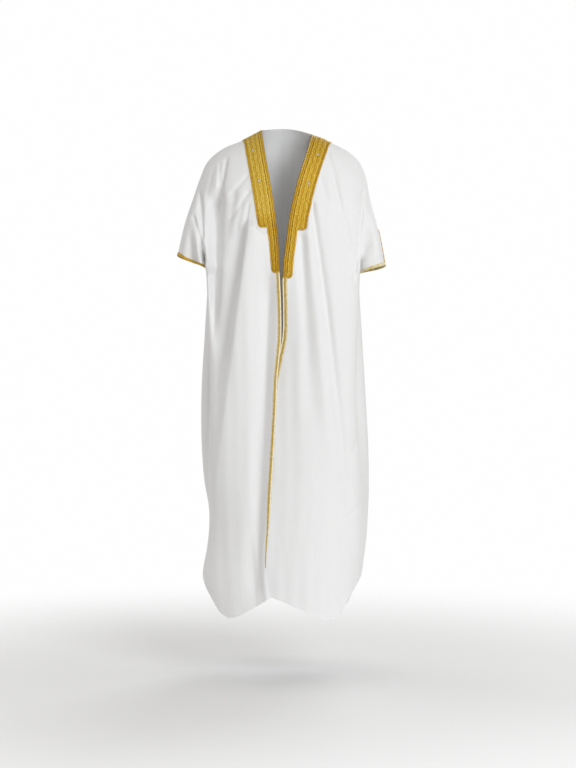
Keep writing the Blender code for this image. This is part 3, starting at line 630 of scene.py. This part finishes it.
def thread_finish(name, stops, roughness, metallic):
    """Metal thread: its colour by tone, and fine slanting stitches as bump."""
    made, shader, shade = finish_of(name)
    shader.inputs["Roughness"].default_value = roughness
    shader.inputs["Metallic"].default_value = metallic
    shader.inputs["Anisotropic"].default_value = 0.3
    shader.inputs["Specular IOR Level"].default_value = 0.2
    tone = shade.node("ShaderNodeAttribute", {"attribute_name": "tone"}, {}, 2)
    uv = shade.node("ShaderNodeUVMap", {"uv_map": "cloth"}, {})
    u = shade.node("ShaderNodeSeparateXYZ", {}, {0: uv}, 0)
    t = shade.node("ShaderNodeSeparateXYZ", {}, {0: uv}, 1)
    stitch = shade.sum("SINE", t * 5200 + u * 2600, 0.0)
    speck = shade.node("ShaderNodeTexNoise", {}, {"Vector": uv, "Scale": 900.0, "Detail": 1.0})
    # Painted sheen: broad noise patches lighten and darken the thread's colour where the metal
    # would catch or lose the light.
    painted_sheen = shade.node("ShaderNodeTexNoise", {}, {"Vector": uv, "Scale": 110.0, "Detail": 2.0})
    spread = tone + stitch * 0.045 + (speck - 0.5) * 0.30 + (painted_sheen - 0.5) * 0.45
    ramp = shade.tree.nodes.new("ShaderNodeValToRGB")
    ramp.color_ramp.elements[0].position, ramp.color_ramp.elements[1].position = 0, 1
    for position, _ in stops[1:-1]:
        ramp.color_ramp.elements.new(position)
    for element, (_, colour) in zip(ramp.color_ramp.elements, stops):
        element.color = (*colour, 1)
    shade.tree.links.new(spread.socket, ramp.inputs[0])
    shade.tree.links.new(ramp.outputs[0], shader.inputs["Base Color"])
    bump = shade.node("ShaderNodeBump", {}, {"Height": stitch, "Distance": 0.00012,
                                             "Strength": 0.6})
    shade.tree.links.new(bump.socket, shader.inputs["Normal"])
    return made


gold = thread_finish("gold_thread", ((0.0, (0.22, 0.11, 0.008)), (0.25, (0.41, 0.21, 0.012)),
                                     (0.45, (0.58, 0.33, 0.020)), (0.65, (0.70, 0.47, 0.055)),
                                     (0.85, (0.84, 0.64, 0.14)), (1.0, (0.95, 0.83, 0.42))),
                     0.40, 0.25)
for side in SIDE:
    panel = panels[side, "front"]
    v, length = down_column(panel, BAND_WIDE / 2)
    pieces = []
    for part, low, high in (("net", BAND_NARROW, BAND_WIDE), ("cords", 0.0, BAND_NARROW)):
        end_v = row_at(panel, BAND_END[side][part == "cords"], 0)
        end = float(np.interp(end_v, v, length))
        u = np.linspace(low, high, 29)[None, :]
        stop = end - CORNER + np.sqrt(np.clip(CORNER ** 2 - np.clip(
            u - (high - CORNER), 0, None) ** 2, 0, None))
        t = np.linspace(0, 1, round(end / ROW_STEP) + 1)[:, None] * stop
        u = u + 0 * t
        outside = (high - u) if part == "net" else np.where(t > end - 0.02, high - u, 0.02)
        height, tone = embroidery(u, t, np.minimum(outside, stop - t), BAND_PAINTED_HIGHLIGHT[side])
        tone = tone + BAND_TONE_AND_SHADE[side][0]
        # Painted shade: the narrow stretch under the chest is painted darker than the band over
        # the shoulder.
        tone = tone + (BAND_TONE_AND_SHADE[side][1] - BAND_TONE_AND_SHADE[side][0]) * smooth(0.27, 0.33, t)
        p, n = laid_on(panel, u, np.interp(t, length, v))
        low_side = p + n * (CLOTH_THICK / 2 + BAND_OFF)
        piece = shell(part, low_side + n * (BAND_BASE + height)[..., None], low_side, u, t)
        add_tone(piece, tone)
        pieces.append(piece)
    made = join("embroidery_" + side, pieces)
    made.data.materials.append(gold)
    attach(made, "root")
    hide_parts("band_" + side)

# ---------------------------------------------------------------- the band round the nape
# The same embroidery runs on round the back of the neck, from shoulder to shoulder.
NAPE_LIFT = 0.0006
NAPE_COLUMNS = 57
sides = []
for side in SIDE:
    half = halves[side]
    share = np.linspace(0, 1, 70)
    neck_s = -NECK_HALF * share
    far_s = -NECK_HALF + (BAND_WIDE + NECK_HALF) * np.cos(share * math.pi / 2)
    neck = laid_on(half, np.linspace(-NECK_HALF, 0, 160), 0.0)[0]
    v = np.linspace(0, 0.8, 801)
    far_v = np.empty_like(far_s)
    for k, column in enumerate(far_s):
        points = laid_on(half, column, v)[0]
        apart = np.linalg.norm(points[:, None] - neck[None], axis=2).min(1)
        far_v[k] = np.interp(BAND_WIDE, apart, v)
    far_v[0] = 0
    k = np.linspace(0, 1, NAPE_COLUMNS)[None, :]
    s = neck_s[:, None] + (far_s - neck_s)[:, None] * k
    p, n = laid_on(half, s, far_v[:, None] * k)
    sides.append((p, n))
p = np.concatenate([sides[0][0], sides[1][0][-2::-1]])
n = np.concatenate([sides[0][1], sides[1][1][-2::-1]])
u = np.linspace(0, BAND_WIDE, NAPE_COLUMNS)[None, :] + np.zeros(p.shape[:2])
t = length_down(p[:, NAPE_COLUMNS // 2])[:, None] + 0 * u
height, tone = embroidery(u, t, BAND_WIDE - u)
low_side = p + n * (CLOTH_THICK / 2 + NAPE_LIFT)
nape = shell("embroidery_back", low_side + n * (BAND_BASE + height)[..., None], low_side, u, t)
add_tone(nape, tone)
nape.data.materials.append(gold)
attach(nape, "root")
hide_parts("band_back")

# ---------------------------------------------------------------- the rosettes
# Two small silver rosettes with eight points are stitched along the middle of each wide band.
ROSETTE_AT = {"right": ((0.038, -0.061), (0.036, -0.152)),       # across the band, and height
              "left": ((0.037, -0.073), (0.037, -0.159))}
ROSETTE_HALF = 0.0050


def rosette(name, centre, normal, aside):
    """A domed star with a closed back: a square grid pulled round, whose radius and height
    grow and shrink eight times a turn."""
    a, b = np.meshgrid(np.linspace(-1, 1, 33), np.linspace(-1, 1, 33), indexing="ij")
    out, turn = np.maximum(abs(a), abs(b)), np.arctan2(b, a)
    petal = np.cos(8 * turn)
    radius = ROSETTE_HALF * out * (0.84 + 0.16 * petal)
    up = np.cross(normal, aside)
    flat = centre + (radius * np.cos(turn))[..., None] * aside \
        + (radius * np.sin(turn))[..., None] * up
    high = 0.0021 + 0.0011 * (1 - out ** 2) * (0.8 + 0.2 * petal)
    made = shell(name, flat + normal * high[..., None], flat + normal * 0.0009, a, b)
    add_tone(made, 1 - smooth(0.35, 0.62, out * (1 + 0.1 * petal)))
    return made


silver, shader, shade = finish_of("silver_thread")
shader.inputs["Metallic"].default_value = 0.35
shader.inputs["Roughness"].default_value = 0.35
middle_of = shade.node("ShaderNodeAttribute", {"attribute_name": "tone"}, {}, 2)
tint = shade.node("ShaderNodeMix", {"data_type": "RGBA"},
                  {0: middle_of, 6: (0.40, 0.34, 0.22, 1), 7: (0.92, 0.90, 0.86, 1)}, 2)
shade.tree.links.new(tint.socket, shader.inputs["Base Color"])
for side in SIDE:
    stars = []
    for s, z in ROSETTE_AT[side]:
        v = row_at(panels[side, "front"], z, s)
        p, n = laid_on(panels[side, "front"], [s, s + 0.002], v)
        normal = n[0]
        aside = unit(np.cross(np.cross(normal, p[1] - p[0]), normal))
        stars.append(rosette("star", p[0], normal, aside))
    made = join("rosettes_" + side, stars)
    made.data.materials.append(silver)
    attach(made, "root")

# ---------------------------------------------------------------- the braid down the fronts
# Below the bands a narrow braid runs down each front edge and narrows away above the hem: a
# twisted gold cord between two pale ones, the wider of them along the cloth's edge.
BRAID = 0.0150
BRAID_END = -1.225
BRAID_TIP = 0.25         # how much of its width is left at its end
BRAID_TAPER = 0.22       # and over what length it narrows
BRAID_BASE = 0.0003
TRIM_OFF = 0.0001        # clear of the cloth below it
TWIST = 0.0042


def braid(u, t):
    """Height and tone of the braid, u across and t along: two pale round cords at the sides,
    and between them a gold one crossed by slanting sine grooves."""
    twist = np.sin(2 * math.pi * (t / TWIST + u / 0.006))
    pale = np.maximum(cord(u, 0.0024, 0.0024), 0.7 * cord(u, BRAID - 0.0016, 0.0016))
    gold_one = cord(u, 0.0083, 0.0038)
    height = np.maximum(0.0008 * pale, 0.0011 * gold_one * (0.88 + 0.12 * twist))
    tone = np.where(pale > 0, 0.72 + 0.28 * pale, 0.28 + (0.22 + 0.10 * twist) * gold_one)
    return height, tone


BRAID_COLOURS = ((0.0, (0.20, 0.11, 0.015)), (0.3, (0.38, 0.23, 0.035)),
                 (0.55, (0.60, 0.42, 0.095)), (0.75, (0.78, 0.64, 0.27)),
                 (1.0, (0.96, 0.92, 0.78)))
edging_gold = thread_finish("braid_thread", BRAID_COLOURS, 0.45, 0.15)
for side in SIDE:
    panel = panels[side, "front"]
    v, length = down_column(panel, BRAID / 2)
    first = float(np.interp(row_at(panel, BAND_END[side][1], 0), v, length)) - 0.002
    last = float(np.interp(row_at(panel, BRAID_END, 0), v, length))
    u = np.linspace(0, BRAID, 19)[None, :]
    t = np.linspace(first, last, round((last - first) / ROW_STEP))[:, None] + 0 * u
    u = u + 0 * t
    height, tone = braid(u, t)
    end = smooth(0, 0.004, last - t)
    narrowed = u * (BRAID_TIP + (1 - BRAID_TIP) * smooth(0, BRAID_TAPER, last - t))
    p, n = laid_on(panel, narrowed, np.interp(t, length, v))
    low_side = p + n * (CLOTH_THICK / 2 + TRIM_OFF)
    high_side = low_side + n * (BRAID_BASE + height * end)[..., None]
    made = shell("braid_" + side, high_side, low_side, u, t)
    add_tone(made, tone)
    made.data.materials.append(edging_gold)
    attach(made, "root")
    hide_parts("edging_" + side)

# ---------------------------------------------------------------- the sleeves' trims
# A twisted cord is folded over the whole edge of each sleeve opening. Above its corner a short
# embroidered strip lies beside the outer fold, with brown lozenges down its middle.
CUFF = 0.008
CUFF_TONE = {"right": 0.0, "left": 0.30}
STRIP_BACK = {"right": 0.0155, "left": -0.032}   # behind the fold; below 0, in front of it
STRIP_BASE = 0.0004
STRIP_LONG = 0.105
STRIP_HALF = 0.013
LOZENGE = 0.017
for side in SIDE:
    front, half = panels[side, "front"], halves[side]
    s = SLEEVE[side] + np.linspace(-CUFF, 0.0012, 15)[None, :]
    down = np.linspace(0, 0.95, 330)[:, None]
    fp, fn = laid_on(front, s, down)
    bp, bn = laid_on(half, s, down)
    p, n = np.concatenate([fp[:0:-1], bp]), np.concatenate([fn[:0:-1], bn])
    t = length_down(p[:, -1])[:, None]
    u = s - s[0, 0] + 0 * t
    t = t + 0 * u
    twist = np.sin(2 * math.pi * (t / 0.0052 + u / 0.009))
    back = cord(u, CUFF / 2 + 0.0006, CUFF / 2 + 0.0007)
    # The cord is darker in uneven patches along its length.
    dark_patches = np.sin(2 * math.pi * t / 0.061 + 0.8) * np.sin(2 * math.pi * t / 0.037)
    tone = 0.34 + (0.22 + 0.13 * twist) * back - 0.16 * np.clip(dark_patches, 0, 1) + CUFF_TONE[side]
    height = 0.0006 + 0.0013 * back * (0.84 + 0.16 * twist)
    made = shell("cuff_" + side, p + n * (CLOTH_THICK / 2 + height)[..., None],
                 p - n * (CLOTH_THICK / 2 + 0.0007), u, t)
    add_tone(made, tone)
    made.data.materials.append(gold if side == "right" else edging_gold)
    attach(made, "root")
    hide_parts("sleeve_edging_" + side)

    s = np.linspace(SLEEVE[side] - STRIP_LONG, SLEEVE[side] - CUFF - 0.0004, 76)
    u = np.linspace(-STRIP_HALF, STRIP_HALF, 23)
    v = np.linspace(0, 0.4, 201)
    sheets = []
    for panel in (front, half):
        points = laid_on(panel, s[:, None], v[None, :])[0]
        away = length_down(points.swapaxes(0, 1)).T
        rows = np.stack([np.interp(abs(u + STRIP_BACK[side]), a, v) for a in away])
        sheets.append(laid_on(panel, s[:, None], rows))
    behind = (u + STRIP_BACK[side] > 0)[None, :, None]
    p, n = (np.where(behind, there, here) for here, there in zip(*sheets))
    u = u[None, :] + 0 * s[:, None]
    t = (s - s[0])[:, None] + 0 * u
    across = abs(((t / LOZENGE) % 1) - 0.5) * 2
    inside = smooth(0.1, 0.35, 1 - across - abs(u) / (STRIP_HALF * 0.7))
    rim = np.minimum(STRIP_HALF - abs(u), np.minimum(t, t[-1:] - t))
    line = cord(rim, 0.0018, 0.0018)
    tone = np.where(rim < 0.0036, 0.25 + 0.45 * line, 0.82 - 0.72 * inside)
    height = np.where(rim < 0.0036, 0.0009 * line, 0.0005 + 0.0005 * inside)
    low_side = p + n * (CLOTH_THICK / 2 + TRIM_OFF)
    high_side = low_side + n * (STRIP_BASE + height)[..., None]
    made = shell("strip_" + side, high_side, low_side, u, t)
    add_tone(made, tone)
    made.data.materials.append(gold)
    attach(made, "root")
    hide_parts("sleeve_strip_" + side)

# ---------------------------------------------------------------- floor and light
# A round pale floor that melts into the white behind it, a broad soft light in front on the
# wearer's left, and weaker ones from the other side and from behind.
FLOOR_Z = -1.544
ring, turn = np.meshgrid((0.0, 0.9, 2.2), np.linspace(0, 2 * math.pi, 65)[:-1], indexing="ij")
points = np.stack([ring * np.cos(turn), ring * np.sin(turn), 0 * ring + FLOOR_Z], -1)
points = np.concatenate([points[0, :1], points[1:].reshape(-1, 3)])
near, far = 1 + np.arange(64), 65 + np.arange(64)
faces = [(0, int(a), int(b)) for a, b in zip(near, np.roll(near, -1))]
faces += [(int(a), int(c), int(d), int(b)) for a, b, c, d in
          zip(near, np.roll(near, -1), far, np.roll(far, -1))]
floor_mesh = bpy.data.meshes.new("floor")
floor_mesh.from_pydata(points.tolist(), [], faces)
floor = bpy.data.objects.new("floor", floor_mesh)
bpy.context.scene.collection.objects.link(floor)
pale, shader, shade = finish_of("pale_floor")
shader.inputs["Base Color"].default_value = (0.88, 0.88, 0.88, 1)
shader.inputs["Roughness"].default_value = 0.9
spot = shade.node("ShaderNodeTexCoord", {}, {}, 3)
away = shade.node("ShaderNodeVectorMath", {"operation": "LENGTH"},
                  {0: shade.node("ShaderNodeVectorMath", {"operation": "MULTIPLY"},
                                 {0: spot, 1: (1, 1, 0)})}, 1)
fade = shade.node("ShaderNodeMapRange", {"interpolation_type": "SMOOTHSTEP"},
                  {"Value": away, "From Min": 0.5, "From Max": 2.1, "To Min": 1.0, "To Max": 0.0})
shade.tree.links.new(fade.socket, shader.inputs["Alpha"])
floor_mesh.materials.append(pale)

for name, place, size, power in (("key", (1.9, -3.6, 0.5), 2.0, 89.0),
                                 ("side", (-3.0, 1.8, 0.1), 2.0, 22.0),
                                 ("behind", (1.4, 3.4, 1.2), 2.0, 50.0)):
    lamp = bpy.data.objects.new(name, bpy.data.lights.new(name, "AREA"))
    lamp.data.size = size
    lamp.data.energy = power
    lamp.data.color = (0.95, 0.975, 1.0)
    lamp.location = place
    towards = Vector((0, 0, -0.6)) - lamp.location
    lamp.rotation_euler = towards.to_track_quat("-Z", "Y").to_euler()
    bpy.context.scene.collection.objects.link(lamp)
# The world's light is softer and warmer than the white that shows behind the robe.
world = bpy.data.worlds.new("studio")
world.use_nodes = True
shade = Shade(world.node_tree)
seen = shade.node("ShaderNodeLightPath", {}, {}, 0)
glow = seen * 0.505 + 0.49
world.node_tree.links.new(glow.socket, world.node_tree.nodes["Background"].inputs["Strength"])
tint = shade.node("ShaderNodeMix", {"data_type": "RGBA"},
                  {0: seen, 6: (1.0, 0.975, 0.94, 1), 7: (1, 1, 1, 1)}, 2)
world.node_tree.links.new(tint.socket, world.node_tree.nodes["Background"].inputs["Color"])
bpy.context.scene.world = world
bpy.context.scene.view_settings.view_transform = "Standard"
